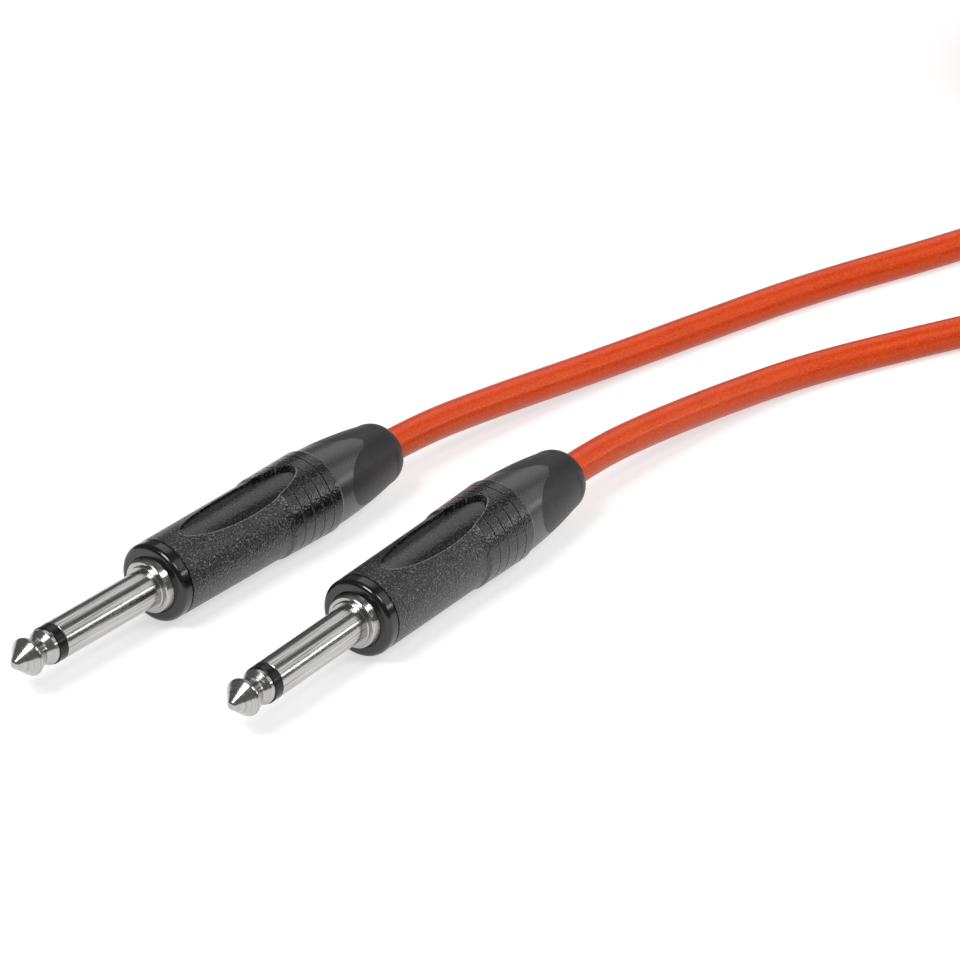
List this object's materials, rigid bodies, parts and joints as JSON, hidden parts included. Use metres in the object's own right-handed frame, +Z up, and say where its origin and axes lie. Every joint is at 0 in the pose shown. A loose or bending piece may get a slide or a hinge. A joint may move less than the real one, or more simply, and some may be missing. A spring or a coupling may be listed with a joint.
{
  "type": "instrument cable",
  "caption": "Screened instrument cable with a straight 6.35 mm mono phone plug on each end, the spare length folded and tied.",
  "frame": {"origin": "on the resting surface, under the middle of the box round the two plugs, without the free cable", "axes": "+Z up; plug a lies along Y with its tip towards -Y; both cables leave towards +Y"},
  "size_m": [0.0681, 0.3588, 0.0364],
  "materials": {
    "nickel": "bright nickel plating",
    "black_insulator": "gloss black moulding",
    "tinned_brass": "tinned",
    "carrier_plastic": "moulded",
    "shell_coat": "rough black coat on die-cast zinc",
    "chuck_plastic": "moulded",
    "gland_plastic": "satin moulding",
    "boot_rubber": "soft matt moulding",
    "cable_jacket": "satin orange-red PVC",
    "core_insulation": "extruded",
    "copper_screen": "twisted bare copper",
    "tie_fabric": "woven hook-and-loop strap"
  },
  "bodies": {
    "cable": {"tip_contact_a": "nickel", "tip_ring_a": "black_insulator", "core_tube_a": "black_insulator", "sleeve_contact_a": "nickel", "sleeve_lug_a": "tinned_brass", "lug_carrier_a": "carrier_plastic", "tip_lug_a": "tinned_brass", "shell_a": "shell_coat", "jacket_end_a": "cable_jacket", "core_wire_a": "core_insulation", "screen_tail_a": "copper_screen", "tip_contact_b": "nickel", "tip_ring_b": "black_insulator", "core_tube_b": "black_insulator", "sleeve_contact_b": "nickel", "sleeve_lug_b": "tinned_brass", "lug_carrier_b": "carrier_plastic", "tip_lug_b": "tinned_brass", "shell_b": "shell_coat", "jacket_end_b": "cable_jacket", "core_wire_b": "core_insulation", "screen_tail_b": "copper_screen", "cord_run_a": "cable_jacket", "cord_run_b": "cable_jacket", "cord_hank": "cable_jacket", "hank_tie": "tie_fabric"},
    "chuck_a": {"chuck_a": "chuck_plastic"},
    "gland_a": {"gland_a": "gland_plastic", "boot_a": "boot_rubber"},
    "chuck_b": {"chuck_b": "chuck_plastic"},
    "gland_b": {"gland_b": "gland_plastic", "boot_b": "boot_rubber"}
  },
  "joints": [
    {"name": "chuck_a_slide", "type": "slide", "parent": "cable", "child": "chuck_a", "axis": [0, 1, 0], "range_m": [0, 0.00425]},
    {"name": "gland_a_turn", "type": "hinge", "parent": "chuck_a", "child": "gland_a", "pos_m": [-0.0155, 0.02505, 0.0073], "axis": [0, 1, 0], "range_deg": [0, 1531]},
    {"name": "chuck_b_slide", "type": "slide", "parent": "cable", "child": "chuck_b", "axis": [-0.0645, 0.9979, 0], "range_m": [0, 0.00425]},
    {"name": "gland_b_turn", "type": "hinge", "parent": "chuck_b", "child": "gland_b", "pos_m": [0.01344, 0.03728, 0.0073], "axis": [-0.0645, 0.9979, 0], "range_deg": [0, 1531]}
  ],
  "couplings": [
    {"joint": "gland_a_turn", "follows": "chuck_a_slide", "rad_per_m": 6283.2},
    {"joint": "gland_b_turn", "follows": "chuck_b_slide", "rad_per_m": 6283.2}
  ]
}
